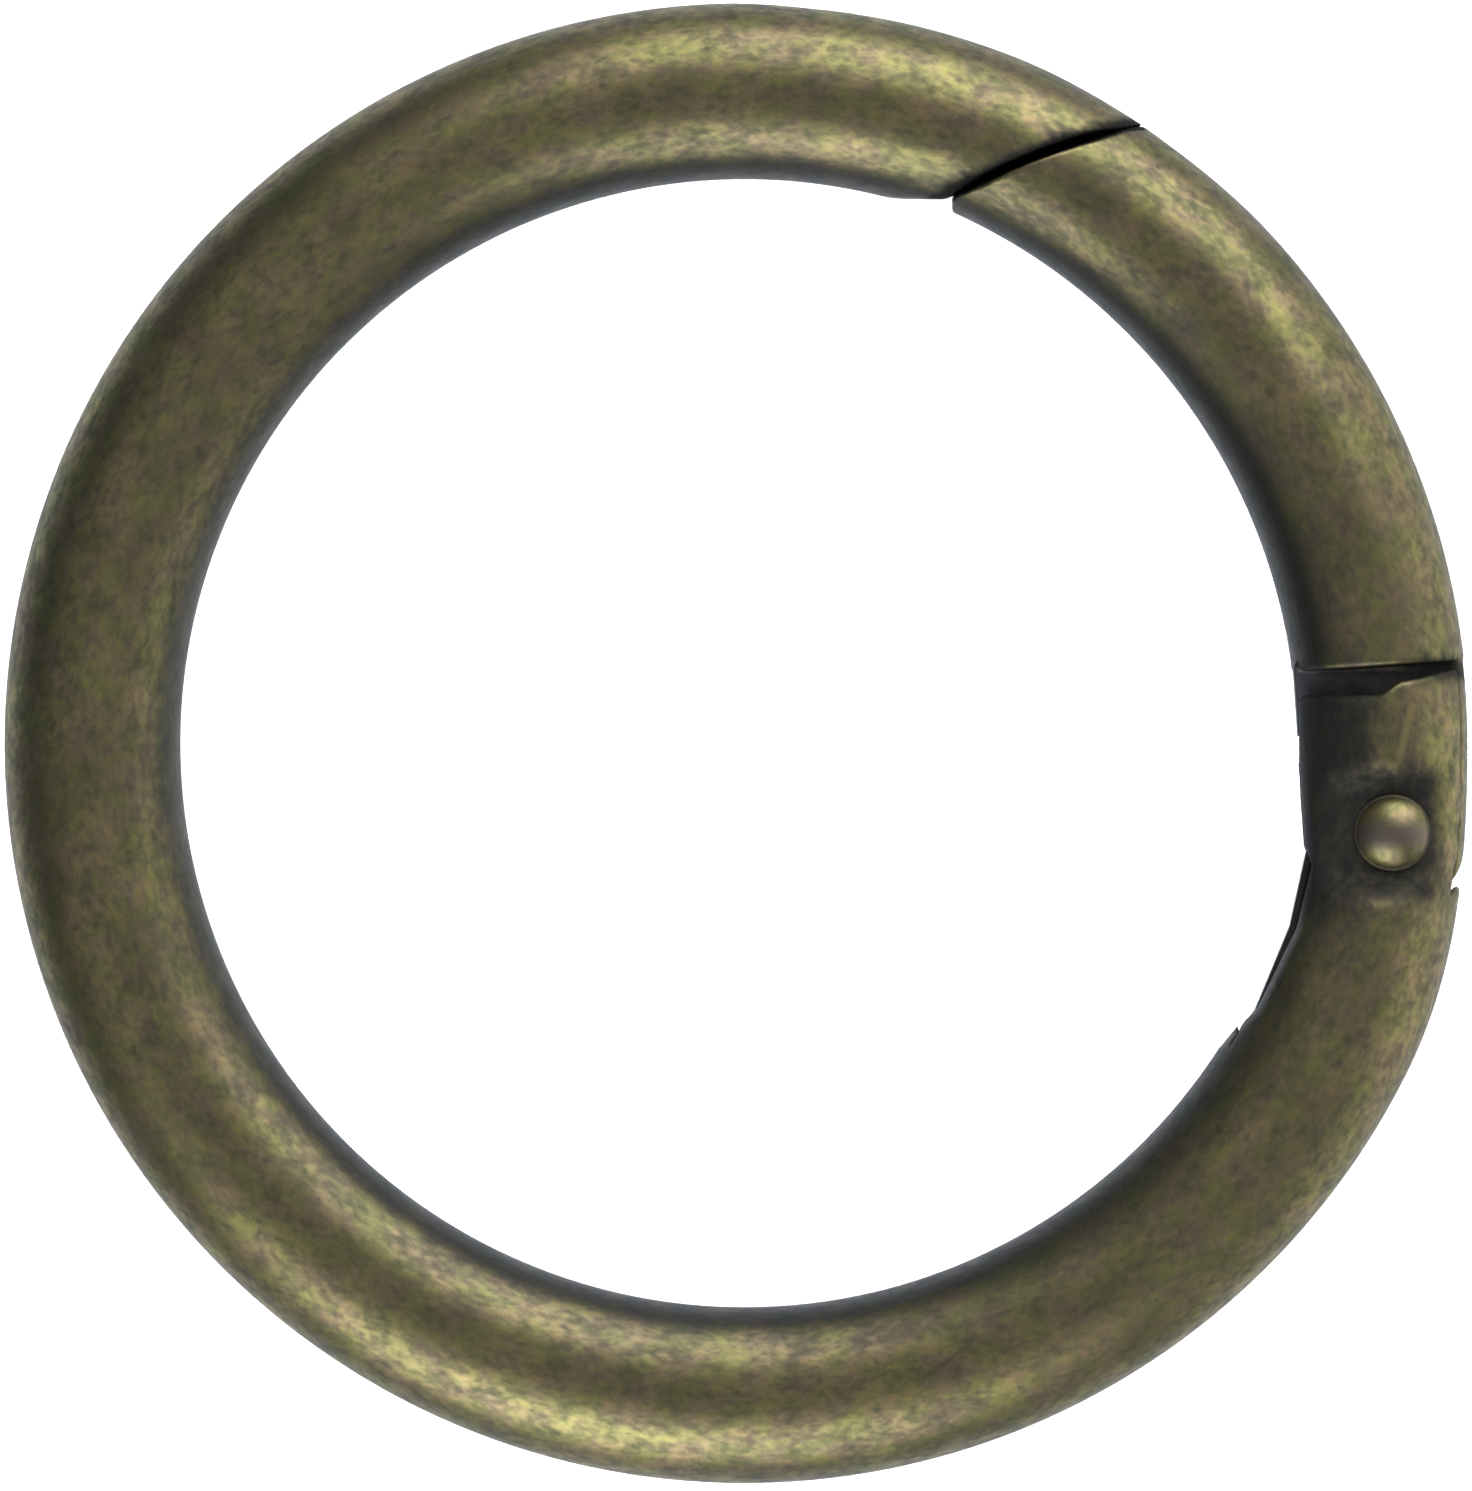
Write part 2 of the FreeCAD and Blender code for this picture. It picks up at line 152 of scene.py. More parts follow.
# nose and lap
LAP_X, LAP_Y, LAP_RAD, LAP_GAP = 17.4, 0.23, 21.0, 0.006
LAP_FLARE, FLARE_FROM, FLARE_OVER = 0.32, 1.2, 1.2  # the lap opens out to front and back
NOSE_FLAT, NOSE_FLAT_FROM = 18.39, 4.0  # Y of the flat that blunts the nose, and X where it starts
NOSE_THINNING = [(92, 8, 0.04), (68, 11, 0.045)]  # from what angle, over how many degrees, by how much
NOSE_END = 40                  # degrees: between the nose and the fork, so that only the nose thins
NOSE_EDGE, NOSE_EDGE_MORE = 0.06, 0.08  # radius of the nose's edge outside, and what the inside adds
NOSE_INSIDE, NOSE_INSIDE_OVER = 24.0, 2.0  # how far from the ring's centre that starts, over how far

# ears and slot
EAR_TOP = 1.62                 # Y of the inner half of each ear's top
EAR_RISES = [(21.3, 0.9, 0.42), (21.6, 3.4, 0.58)]  # from what X, over how far, by how much
EAR_SLANT = 0.95               # the tops slope, so the distance to them is less than the step in Y
EAR_EDGE_MORE = 0.24           # what the inner half adds to the radius of the ear's top edge
EAR_INSIDE, EAR_INSIDE_OVER = 21.8, 0.8  # from what X, over how far
SLOT_HALF, TONGUE_HALF = 1.1, 1.07
SLOT_EDGE, SLOT_EDGE_MORE = 0.02, 0.28  # radius of the slot's edge, and what its outer foot adds
SLOT_FOOT, SLOT_FOOT_OVER = (23.2, -3.6), (0.6, 0.8)  # from what X and Y, over how far
PIVOT_X, PIVOT_Y = 21.85, -3.02
TAIL_RAD, TAIL_GAP = 2.6, 0.2  # the tongue's round end about the pin, and its room in the slot
# The flats under the pin's heads: their height, the Y that they run between, and their ends' slope.
SPOT_FACE, SPOT_LOW, SPOT_HIGH, SPOT_SLOPE = 2.2, -4.55, -1.55, 0.65
SPOT_CORNER, SPOT_EDGE = 0.3, 0.4  # radii inside each flat and round it

# relief for the leaf, and the slit that holds it
RELIEF_START, RELIEF_TOP, RELIEF_STEP = (18.53, 1.9), (18.92, -3.45), (19.15, -4.1)
RELIEF_FOOT, RELIEF_EXIT = (17.28, -8.95), (16.05, -10.06)
RELIEF_DEPTH = 0.22            # how far the cheeks are cut back past the leaf's inner face
RELIEF_EDGE, RELIEF_EDGE_MORE = 0.08, 0.2  # radius of its edge at the ears, and what the neck adds
NECK_FROM, NECK_OVER = -3.0, 2.0  # from what Y, over how far
SLIT_EDGE = 0.06
LEAF_CLEAR, SLIT_CLEAR = 0.12, 0.25

# gate: the X of its arc's centre, its arc and its stock
GATE_CENTRE, GATE_RAD, GATE_STOCK = -1.0, 22.56, 2.91
TIP_THINNING, TIP_FROM, TIP_OVER = 0.05, 44, 12  # by how much, from what angle, over how many degrees
GATE_TIP_X, TIP_EDGE = 7.02, 0.08
SHOULDER_X, SHOULDER_Y, SHOULDER_SLOPE = 18.0, 2.38, 0.48 / 7.0
CAM_REACH, CAM_LENGTH, CAM_BELOW = 2.35, 3.7, 3.0  # the leaf's flat: its reach off the pin, and its length
TONGUE_FOOT, TONGUE_OUTSIDE = [(PIVOT_X, -7.0), (27.0, -7.0)], (27.0, 1.5)
TONGUE_TOP = [(24.28, 2.85), (23.2, 4.6), (20.2, 4.6)]
THROAT = [(18.53, 2.6), (18.69, 0.2)]  # the face that closes the gap above the leaf
FAR_INSIDE = -9.0              # deep inside, where it rounds no edge

# pin and leaf
PIN_RAD, PIN_PLAY, HEAD_RAD, HEAD_RISE = 1.0, 0.05, 1.3, 0.74
LIP = 0.1                      # thickness of the lip round each head
LEAN, LOWER_LEAN = math.radians(12.4), math.radians(22.5)
BEND_X, BEND_Y = 18.41, -6.19
LEAF_UPPER, LEAF_LOWER, LEAF_THICK, LEAF_HALF = 5.72, 4.5, 0.3, 1.0

EDGE, SOFT, CRISP, DRILLED = 0.16, 0.1, 0.05, 0.02  # radii of edges, from cast to drilled
CELL = 0.1                     # size of a mesh face beside fine features
LONG_CELL = 0.6                # length of a mesh face along the plain stock
GROWTH = 0.25                  # how much longer a face is for each millimetre from the fine features
LEAF_CELL = 0.06
RIVET_SIDES, DOME_STEPS = 96, 16


def both(first, second, radius):
    """Inside both shapes, with the edge between them rounded."""
    over = np.hypot(np.maximum(first + radius, 0), np.maximum(second + radius, 0))
    return np.minimum(-radius, np.maximum(first, second)) + over


def either(first, second, radius):
    """Inside either shape, with the corner between them filled."""
    return -both(-first, -second, radius)


def cut(shape, tool, radius=EDGE):
    """The shape less the tool, with a rounded edge."""
    return both(shape, -tool, radius)


def polygon(x, y, corners):
    """Signed distance to a closed outline in plan, negative inside."""
    nearest = np.full(x.shape, 1e9)
    inside = np.zeros(x.shape, bool)
    for (ax, ay), (bx, by) in zip(corners, corners[1:] + corners[:1]):
        ex, ey = bx - ax, by - ay
        share = np.clip(((x - ax) * ex + (y - ay) * ey) / (ex * ex + ey * ey), 0, 1)
        nearest = np.minimum(nearest, np.hypot(x - ax - share * ex, y - ay - share * ey))
        if ay != by:
            inside ^= ((ay > y) != (by > y)) & (x < ex * (y - ay) / (by - ay) + ax)
    return np.where(inside, -nearest, nearest)


def leaf_spot(run, out, lower=False):
    """A point on the leaf, run along it from its bend and out from its inner face."""
    lean, sign = (LOWER_LEAN, -1) if lower else (LEAN, 1)
    return (BEND_X + sign * run * math.sin(lean) + out * math.cos(lean),
            BEND_Y + sign * run * math.cos(lean) - out * math.sin(lean))


def leaf_bend(out):
    """The leaf's bend, moved out from its inner face."""
    half = (LEAN + LOWER_LEAN) / 2
    reach = out / math.cos((LOWER_LEAN - LEAN) / 2)
    return BEND_X + reach * math.cos(half), BEND_Y - reach * math.sin(half)


def ease(share):
    """A smooth step from 0 to 1."""
    share = np.clip(share, 0, 1)
    return share * share * (3 - 2 * share)


def fork_inset(x, y):
    """How far the stock has bent in towards the fork."""
    angle = np.arctan2(y, x)
    return FORK_INSET * ease((angle - BEND_FROM) / (BEND_TO - BEND_FROM)) * (angle < FORK_END)


def nose_taper(x, y):
    """How much the stock thins towards the nose, on its outer side."""
    angle = np.degrees(np.arctan2(y, x))
    thinner = sum(much * ease((start - angle) / over) for start, over, much in NOSE_THINNING)
    return thinner * (angle > NOSE_END)


def lap_half_gap(z):
    """Half the gap between the nose and the gate's tip: even at first, then flaring."""
    return (LAP_GAP + LAP_FLARE * ease((np.abs(z) - FLARE_FROM) / FLARE_OVER)) / 2


def from_lap(x, y):
    """Distance in plan outside the curved face that the nose and the gate's tip meet on."""
    return np.hypot(x - LAP_X, y - LAP_Y) - LAP_RAD


def from_pivot(x, y):
    """Distance in plan from the pin's axis."""
    return np.hypot(x - PIVOT_X, y - PIVOT_Y)


def bent_stock(x, y, z, taper=0.0):
    """The round stock, bent in at the fork and thinned by the taper on its outer side."""
    return np.hypot(np.hypot(x, y) - RING_RAD + fork_inset(x, y) + taper, z) - STOCK_RAD + taper


def cut_opening(shape, x, y, z):
    """Take away the opening between the slanting nose and the tops of the ears."""
    ear_top = EAR_TOP + sum(rise * ease((x - start) / over) for start, over, rise in EAR_RISES)
    opening = both(from_lap(x, y) - lap_half_gap(z), (ear_top - y) * EAR_SLANT, DRILLED)
    at_nose = NOSE_EDGE + NOSE_EDGE_MORE * ease((NOSE_INSIDE - np.hypot(x, y)) / NOSE_INSIDE_OVER)
    at_ear = EDGE + EAR_EDGE_MORE * ease((EAR_INSIDE - x) / EAR_INSIDE_OVER)
    shape = cut(shape, opening, np.where(y > ASIDE, at_nose, at_ear))
    nose_tip = np.maximum(np.maximum(y - NOSE_FLAT, NOSE_FLAT_FROM - x), ASIDE - y)
    return cut(shape, nose_tip, SOFT)


def cut_slot(shape, x, y, z):
    """Take away the slot for the tongue, with a round floor about the pin."""
    tail = from_pivot(x, y) - (TAIL_RAD + TAIL_GAP)
    slot = np.maximum(np.maximum(np.abs(z) - SLOT_HALF, np.minimum(PIVOT_Y - y, tail)), ASIDE - x)
    outer_foot = (ease((x - SLOT_FOOT[0]) / SLOT_FOOT_OVER[0])
                  * ease((SLOT_FOOT[1] - y) / SLOT_FOOT_OVER[1]))
    return cut(shape, slot, SLOT_EDGE + SLOT_EDGE_MORE * outer_foot)


def cut_for_leaf(shape, x, y, z):
    """Take away the relief that the leaf lies in, and the slit that holds its lower end."""
    relief = polygon(x, y, [(WITHIN, RELIEF_START[1]), RELIEF_START, RELIEF_TOP, RELIEF_STEP,
                            leaf_bend(RELIEF_DEPTH), RELIEF_FOOT, RELIEF_EXIT, (WITHIN, -4.0)])
    shape = cut(shape, relief, RELIEF_EDGE + RELIEF_EDGE_MORE * ease((NECK_FROM - y) / NECK_OVER))
    outside, inside = LEAF_THICK + LEAF_CLEAR, -SLIT_CLEAR
    end = LEAF_LOWER + LEAF_CLEAR
    slit = polygon(x, y, [leaf_spot(LEAF_UPPER, outside), leaf_bend(outside),
                          leaf_spot(end, outside, True), leaf_spot(end, inside, True),
                          leaf_bend(inside), leaf_spot(LEAF_UPPER, inside)])
    return cut(shape, np.maximum(slit, np.abs(z) - SLOT_HALF), SLIT_EDGE)


def cut_flats(shape, x, y, z):
    """Take away the flats under the pin's heads, with sloping ends."""
    lean = SPOT_SLOPE / (STOCK_RAD - SPOT_FACE)
    up = np.abs(z) - SPOT_FACE
    ends = (np.maximum(SPOT_LOW - y, y - SPOT_HIGH) - lean * up) / math.hypot(1, lean)
    return cut(shape, np.maximum(both(-up, ends, SPOT_CORNER), ASIDE - x), SPOT_EDGE)


def ring_body_field(x, y, z):
    """The C-shaped body: negative inside, in about millimetres."""
    shape = bent_stock(x, y, z, nose_taper(x, y))
    for take_away in (cut_opening, cut_slot, cut_for_leaf, cut_flats):
        shape = take_away(shape, x, y, z)
    return cut(shape, from_pivot(x, y) - PIN_RAD, DRILLED)


def tongue_field(x, y, z):
    """The gate's tongue: its inner side is the flat that the leaf bears on."""
    foot_x = PIVOT_X - CAM_REACH * math.cos(LEAN)
    foot_y = PIVOT_Y + CAM_REACH * math.sin(LEAN)
    flat_low, flat_high = [(foot_x + run * math.sin(LEAN), foot_y + run * math.cos(LEAN))
                           for run in (-CAM_BELOW, CAM_LENGTH)]
    outline = polygon(x, y, [flat_low, *TONGUE_FOOT, TONGUE_OUTSIDE, *TONGUE_TOP, *THROAT, flat_high])
    tail = np.where(y < PIVOT_Y, from_pivot(x, y) - TAIL_RAD, FAR_INSIDE)
    outline = both(outline, tail, CRISP)
    return both(both(outline, bent_stock(x, y, z), SOFT), np.abs(z) - TONGUE_HALF, DRILLED)


def gate_field(x, y, z):
    """The gate with its tongue: negative inside."""
    taper = TIP_THINNING * ease((np.degrees(np.arctan2(y, x)) - TIP_FROM) / TIP_OVER)
    shape = np.hypot(np.hypot(x - GATE_CENTRE, y) - GATE_RAD + taper, z) - GATE_STOCK + taper
    shape = both(shape, from_lap(x, y) + lap_half_gap(z), SOFT)
    shape = both(shape, GATE_TIP_X - x, TIP_EDGE)
    shape = both(shape, SHOULDER_Y + (x - SHOULDER_X) * SHOULDER_SLOPE - y, EDGE)
    shape = either(shape, tongue_field(x, y, z), SOFT)
    return cut(shape, from_pivot(x, y) - (PIN_RAD + PIN_PLAY), CRISP)


def leaf_field(x, y, z):
    """The bent spring strip: negative inside."""
    half = LEAF_THICK / 2
    route = [leaf_spot(LEAF_UPPER, half), leaf_bend(half), leaf_spot(LEAF_LOWER, half, True)]
    reach = np.full(x.shape, 1e9)
    for (ax, ay), (bx, by) in zip(route, route[1:]):
        ex, ey = bx - ax, by - ay
        share = np.clip(((x - ax) * ex + (y - ay) * ey) / (ex * ex + ey * ey), 0, 1)
        reach = np.minimum(reach, np.hypot(x - ax - share * ex, y - ay - share * ey))
    return both(reach - half, np.abs(z) - LEAF_HALF, CRISP)


# ---------------------------------------------------------------- meshes from the shapes

def ring_grid(first, last, fine, inner, outer, half):
    """Points in a grid bent round the ring, close together in the fine stretches of angle."""
    turns = [first]
    while turns[-1] < last:
        off = min(max(low - turns[-1], turns[-1] - high, 0) for low, high in fine)
        arc = min(LONG_CELL, CELL + GROWTH * math.radians(off) * RING_RAD)
        turns.append(turns[-1] + math.degrees(arc / RING_RAD))
    turn, reach, rise = np.meshgrid(np.radians(turns), np.arange(inner, outer, CELL),
                                    np.arange(-half, half + CELL, CELL), indexing="ij")
    return np.stack([reach * np.cos(turn), reach * np.sin(turn), -rise], axis=-1)


def box_grid(low, high, cell):
    """Points in a plain grid."""
    axes = [np.arange(a, b + cell, cell) for a, b in zip(low, high)]
    return np.stack(np.meshgrid(*axes, indexing="ij"), axis=-1)


def surface_net(points, values):
    """Vertices and quads of the surface where the values pass through nought."""
    shape = np.array(values.shape)
    cells = tuple(shape - 1)
    steps = [np.array(s) for s in np.ndindex(2, 2, 2)]

    def corner(array, step):
        return array[step[0]:cells[0] + step[0], step[1]:cells[1] + step[1], step[2]:cells[2] + step[2]]

    inside = values < 0
    count = sum(corner(inside, s).astype(int) for s in steps)
    active = (count > 0) & (count < 8)
    number = np.full(cells, -1)
    number[active] = np.arange(active.sum())
    total = np.zeros((active.sum(), 3))
    crossings = np.zeros(active.sum())
    for axis in range(3):
        for start in steps:
            if start[axis]:
                continue
            end = start.copy()
            end[axis] = 1
            a, b = corner(values, start)[active], corner(values, end)[active]
            crossed = (a < 0) != (b < 0)
            share = np.where(crossed, a / np.where(crossed, a - b, 1), 0)[:, None]
            spot = corner(points, start)[active] * (1 - share) + corner(points, end)[active] * share
            total += spot * crossed[:, None]
            crossings += crossed
    vertices = total / crossings[:, None]
    quads = []
    for axis in range(3):
        ahead = np.take(inside, range(1, shape[axis]), axis)
        here = np.take(inside, range(shape[axis] - 1), axis)
        at = np.argwhere(here != ahead)
        one, two = (axis + 1) % 3, (axis + 2) % 3
        at = at[(at[:, one] > 0) & (at[:, two] > 0) & (at[:, one] < shape[one] - 1)
                & (at[:, two] < shape[two] - 1)]
        around = []
        for back_one, back_two in ((1, 1), (0, 1), (0, 0), (1, 0)):
            cell = at.copy()
            cell[:, one] -= back_one
            cell[:, two] -= back_two
            around.append(number[tuple(cell.T)])
        faces = np.stack(around, axis=1)
        outward = here[tuple(at.T)]
        quads.append(np.where(outward[:, None], faces, faces[:, ::-1]))
    return vertices, np.concatenate(quads)


def settle(field, vertices, rounds=4, probe=0.004, most=0.04):
    """Move the vertices on to the surface itself."""
    for _ in range(rounds):
        value = field(*vertices.T)
        slope = np.stack([(field(*(vertices + step).T) - field(*(vertices - step).T)) / (2 * probe)
                          for step in np.eye(3) * probe], axis=1)
        move = value[:, None] * slope / np.maximum((slope ** 2).sum(1), 0.1)[:, None]
        length = np.linalg.norm(move, axis=1)[:, None]
        vertices = vertices - move * np.minimum(1, most / np.maximum(length, 1e-9))
    return vertices


def make_piece(name, stands_for, body, vertices, faces, material):
    """A mesh piece that stands for a CAD node and rides on its body."""
    placed = vertices * MM + np.array([0, 0, MID_Z])
    mesh = bpy.data.meshes.new(name)
    mesh.from_pydata(placed.tolist(), [], faces.tolist() if isinstance(faces, np.ndarray) else faces)
    mesh.shade_smooth()
    mesh.materials.append(material)
    piece = bpy.data.objects.new(name, mesh)
    bpy.context.scene.collection.objects.link(piece)
    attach(piece, body)
    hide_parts(stands_for)
    return piece


def make_solid(name, stands_for, body, field, grid, material):
    """A piece whose surface is where its field passes through nought."""
    vertices, quads = surface_net(grid, field(*np.moveaxis(grid, -1, 0)))
    return make_piece(name, stands_for, body, settle(field, vertices), quads, material)


def make_rivet(material):
    """The headed pin, turned from its profile: a shallow dome on a thin lip."""
    foot, rise = HEAD_RAD - 0.05, HEAD_RISE - LIP  # the lip stands out past the dome's foot
    dome = (foot ** 2 + rise ** 2) / (2 * rise)
    sweep = math.asin(foot / dome)
    half = [(PIN_RAD, 0.0), (PIN_RAD, SPOT_FACE - 0.01), (HEAD_RAD - 0.02, SPOT_FACE),
            (HEAD_RAD, SPOT_FACE + 0.02), (HEAD_RAD, SPOT_FACE + LIP - 0.03),
            (HEAD_RAD - 0.03, SPOT_FACE + LIP), (foot + 0.01, SPOT_FACE + LIP)]
    for k in range(DOME_STEPS + 1):
        tilt = sweep * (1 - k / DOME_STEPS)
        half.append((dome * math.sin(tilt), SPOT_FACE + HEAD_RISE - dome * (1 - math.cos(tilt))))
    profile = [(r, -h) for r, h in half[:0:-1]] + half
    vertices, faces = [], []
    for r, h in profile:
        for k in range(RIVET_SIDES):
            a = math.tau * k / RIVET_SIDES
            vertices.append((PIVOT_X + r * math.cos(a), PIVOT_Y + r * math.sin(a), h))
    for row in range(len(profile) - 1):
        for k in range(RIVET_SIDES):
            ahead = (k + 1) % RIVET_SIDES
            faces.append((row * RIVET_SIDES + k, row * RIVET_SIDES + ahead, (row + 1) * RIVET_SIDES + ahead,
                          (row + 1) * RIVET_SIDES + k))
    return make_piece("rivet_turned", "rivet", "ring", np.array(vertices), faces,
                      material)


# ---------------------------------------------------------------- materials

BRASS_BRIGHT = (0.61, 0.51, 0.215, 1)
BRASS_MID = (0.42, 0.36, 0.185, 1)
BRASS_DULL = (0.19, 0.175, 0.11, 1)
GREENER, REDDER = (0.93, 1.02, 0.83, 1), (1.07, 0.985, 1.08, 1)
# Dark colours for patina, and for painted shade in the recesses and gaps.
PATINA_AND_SHADE = (0.078, 0.083, 0.078, 1)
BROWN_PATINA_AND_SHADE = (0.105, 0.1, 0.078, 1)
# The darkest painted shade, beside the joint between the nose and the gate's tip.
JOINT_SHADE = (0.03, 0.028, 0.025, 1)
# A purple-grey painted reflection across the pin's heads.
REFLECTION_BAND_COLOUR = (0.36, 0.29, 0.26, 1)
# Pale grey painted light, in the gap under the gate and along the ears' inner rims.
PAINTED_LIGHT_GREY = (0.29, 0.3, 0.32, 1)
STEEL_DARK, STEEL_LIGHT = (0.05, 0.05, 0.05, 1), (0.16, 0.155, 0.15, 1)
STREAK = 1.5                   # how much finer the mottle is across the stock than along it
LACQUER = 0.35

# Where the patina, the painted shade and the painted light begin and end, each as the two ends of a soft
# border. Names in X and Y are places on those axes. LAP_SIDE is in Y, and HINGE_SIDE and EAR_RIM are in X.
# Painted shade with patina along the lap, darkest next to the joint.
LAP_SHADE_AND_PATINA = (-0.22, -0.1), (0.2, 0.65)          # distances out from the lap's face
LAP_DEEP_SHADE = (0.1, 0.45)
LAP_SIDE, HINGE_SIDE = (15, 16), (14, 16)
# Painted shade with patina round the pin's heads.
HEAD_SHADE_X, HEAD_SHADE_Y = (22.9, 23.9), ((-5.8, -4.9), (-1.2, -0.4))
# Painted shade on the inner half of each ear.
EAR_SHADE_X, EAR_SHADE_Y = (20.7, 22.0), ((-8, -4.5), (1.6, 3.2))
# Painted shade in the gap above the ears.
GAP_MIDDLE, GAP_SHADE = 2.5, (0.1, 0.7)         # Y of the gap above the ears, and distances from it
GAP_OUTER_X, GAP_LOWER_Y = (21.4, 23.0), (2.35, 2.55)
# Painted shade under the gate's shoulder.
UNDER_GATE_X, UNDER_GATE_Y = (23.4, 24), (2.3, 2.7)
# Darker towards the eye, and darker again along its inner rim.
EYE_DARKER, RIM_DARKER, RIM_LACQUER = (20.0, 22.3), (19.65, 20.3), (19.0, 19.5)  # from the ring's centre
# A painted highlight along the crease on the ear beside the pin's head.
CREASE_HIGHLIGHT_X, CREASE_HIGHLIGHT_LEAN, CREASE_HIGHLIGHT_EDGE = 22.2, 0.238, (0.04, 0.2)
CREASE_HIGHLIGHT_ENDS = (-0.8, -0.3), (1.1, 1.6)
# Painted light on the tongue in the gap under the gate's shoulder.
TONGUE_LIGHT_X, TONGUE_LIGHT_Y = (23.3, 23.8), (2.4, 2.9)
# A painted reflection along each ear's inner rim.
EAR_RIM, EAR_RIM_LEAN = (18.72, 19.0), 0.073
EAR_RIM_ENDS = (-4.2, -3.4), (1.2, 1.7)
# A painted reflection across each head's middle, and patina with painted shade round its rim.
HEAD_REFLECTION_BAND, HEAD_RIM = (0.1, 0.75), (1.1, 1.26)  # distances from the head's middle


def from_point(tree, where, x, y):
    """Distance in plan from a point, in millimetres."""
    moved = node(tree, "ShaderNodeVectorMath", {0: where, 1: (x * MM, y * MM, 0)}, operation="SUBTRACT")
    flat = node(tree, "ShaderNodeVectorMath", {0: moved.outputs[0], 1: (1 / MM, 1 / MM, 0)},
                operation="MULTIPLY")
    return node(tree, "ShaderNodeVectorMath", {0: flat.outputs[0]}, operation="LENGTH").outputs["Value"]


def patina_and_shade(tree, where, ragged, tongue):
    """Patina with painted shade along the lap and round the pin's heads, and painted shade on the inner
    half of each ear, in the gap above the ears and under the gate's shoulder.

    The tongue's value says how much painted shade shows under the gate's shoulder.
    """
    x, y, _ = in_mm(tree, where)
    wobble = sums(tree, "MULTIPLY", sums(tree, "SUBTRACT", ragged, 0.5), 1.2)
    lap = sums(tree, "SUBTRACT", from_point(tree, where, LAP_X, LAP_Y), LAP_RAD)
    lap = sums(tree, "ADD", lap, sums(tree, "MULTIPLY", wobble, 0.25))
    # Painted shade with patina along the lap.
    at_lap = product(tree, within(tree, lap, LAP_SHADE_AND_PATINA), spread(tree, y, *LAP_SIDE))
    across = sums(tree, "ADD", x, sums(tree, "MULTIPLY", wobble, 0.6))
    along = sums(tree, "ADD", y, sums(tree, "MULTIPLY", wobble, 0.5))
    # Painted shade with patina round the pin's heads.
    round_heads = product(tree, fall(tree, across, *HEAD_SHADE_X), within(tree, along, HEAD_SHADE_Y))
    # Painted shade on the inner half of each ear.
    inner = product(tree, fall(tree, across, *EAR_SHADE_X), within(tree, y, EAR_SHADE_Y))
    # Painted shade in the gap above the ears.
    gap = product(tree, fall(tree, away_from(tree, along, GAP_MIDDLE), *GAP_SHADE),
                  greatest(tree, spread(tree, x, *GAP_OUTER_X), fall(tree, y, *GAP_LOWER_Y)))
    # Painted shade under the gate's shoulder.
    under = product(tree, fall(tree, y, *UNDER_GATE_Y, tongue), fall(tree, x, *UNDER_GATE_X))
    at_hinge = product(tree, greatest(tree, round_heads, inner, gap, under), spread(tree, x, *HINGE_SIDE))
    return greatest(tree, at_lap, at_hinge)


def crease_highlight(tree, where):
    """A painted highlight: a bright line along the crease on the ear beside the pin's head."""
    x, y, _ = in_mm(tree, where)
    slant = sums(tree, "SUBTRACT", x, sums(tree, "MULTIPLY", y, CREASE_HIGHLIGHT_LEAN))
    return product(tree, fall(tree, away_from(tree, slant, CREASE_HIGHLIGHT_X), *CREASE_HIGHLIGHT_EDGE, 0.6),
                   within(tree, y, CREASE_HIGHLIGHT_ENDS))


def painted_light(tree, where, tongue):
    """Painted light in pale grey: the tongue lit in the dark gap under the gate's shoulder, and a painted
    reflection along the inner rims of the ears.
    """
    x, y, z = in_mm(tree, where)
    sides = product(tree, fall(tree, away_from(tree, z, STOCK_RAD), SLOT_HALF, SLOT_HALF + 0.2, tongue),
                    fall(tree, y, *TONGUE_LIGHT_Y), fall(tree, x, *TONGUE_LIGHT_X))
    across = sums(tree, "ADD", x, sums(tree, "MULTIPLY", y, EAR_RIM_LEAN))
    rims = product(tree, fall(tree, across, *EAR_RIM, 0.5), within(tree, y, EAR_RIM_ENDS),
                   spread(tree, x, *HINGE_SIDE))
    return greatest(tree, sides, rims)


def drawn_out(tree, where):
    """Coordinates in which a pattern comes out longer round the ring than across the stock."""
    axes = node(tree, "ShaderNodeSeparateXYZ", {0: where})
    plan = node(tree, "ShaderNodeCombineXYZ", {0: axes.outputs[0], 1: axes.outputs[1]}).outputs[0]
    reach = node(tree, "ShaderNodeVectorMath", {0: plan}, operation="LENGTH").outputs["Value"]
    reach = sums(tree, "SUBTRACT", sums(tree, "MULTIPLY", reach, STREAK), (STREAK - 1) * RING_RAD * MM)
    way = node(tree, "ShaderNodeVectorMath", {0: plan}, operation="NORMALIZE").outputs[0]
    rise = node(tree, "ShaderNodeCombineXYZ", {2: sums(tree, "MULTIPLY", axes.outputs[2], STREAK)})
    scaled = node(tree, "ShaderNodeVectorMath", {0: way, "Scale": reach}, operation="SCALE")
    return node(tree, "ShaderNodeVectorMath", {0: scaled.outputs[0], 1: rise.outputs[0]},
                operation="ADD").outputs[0]


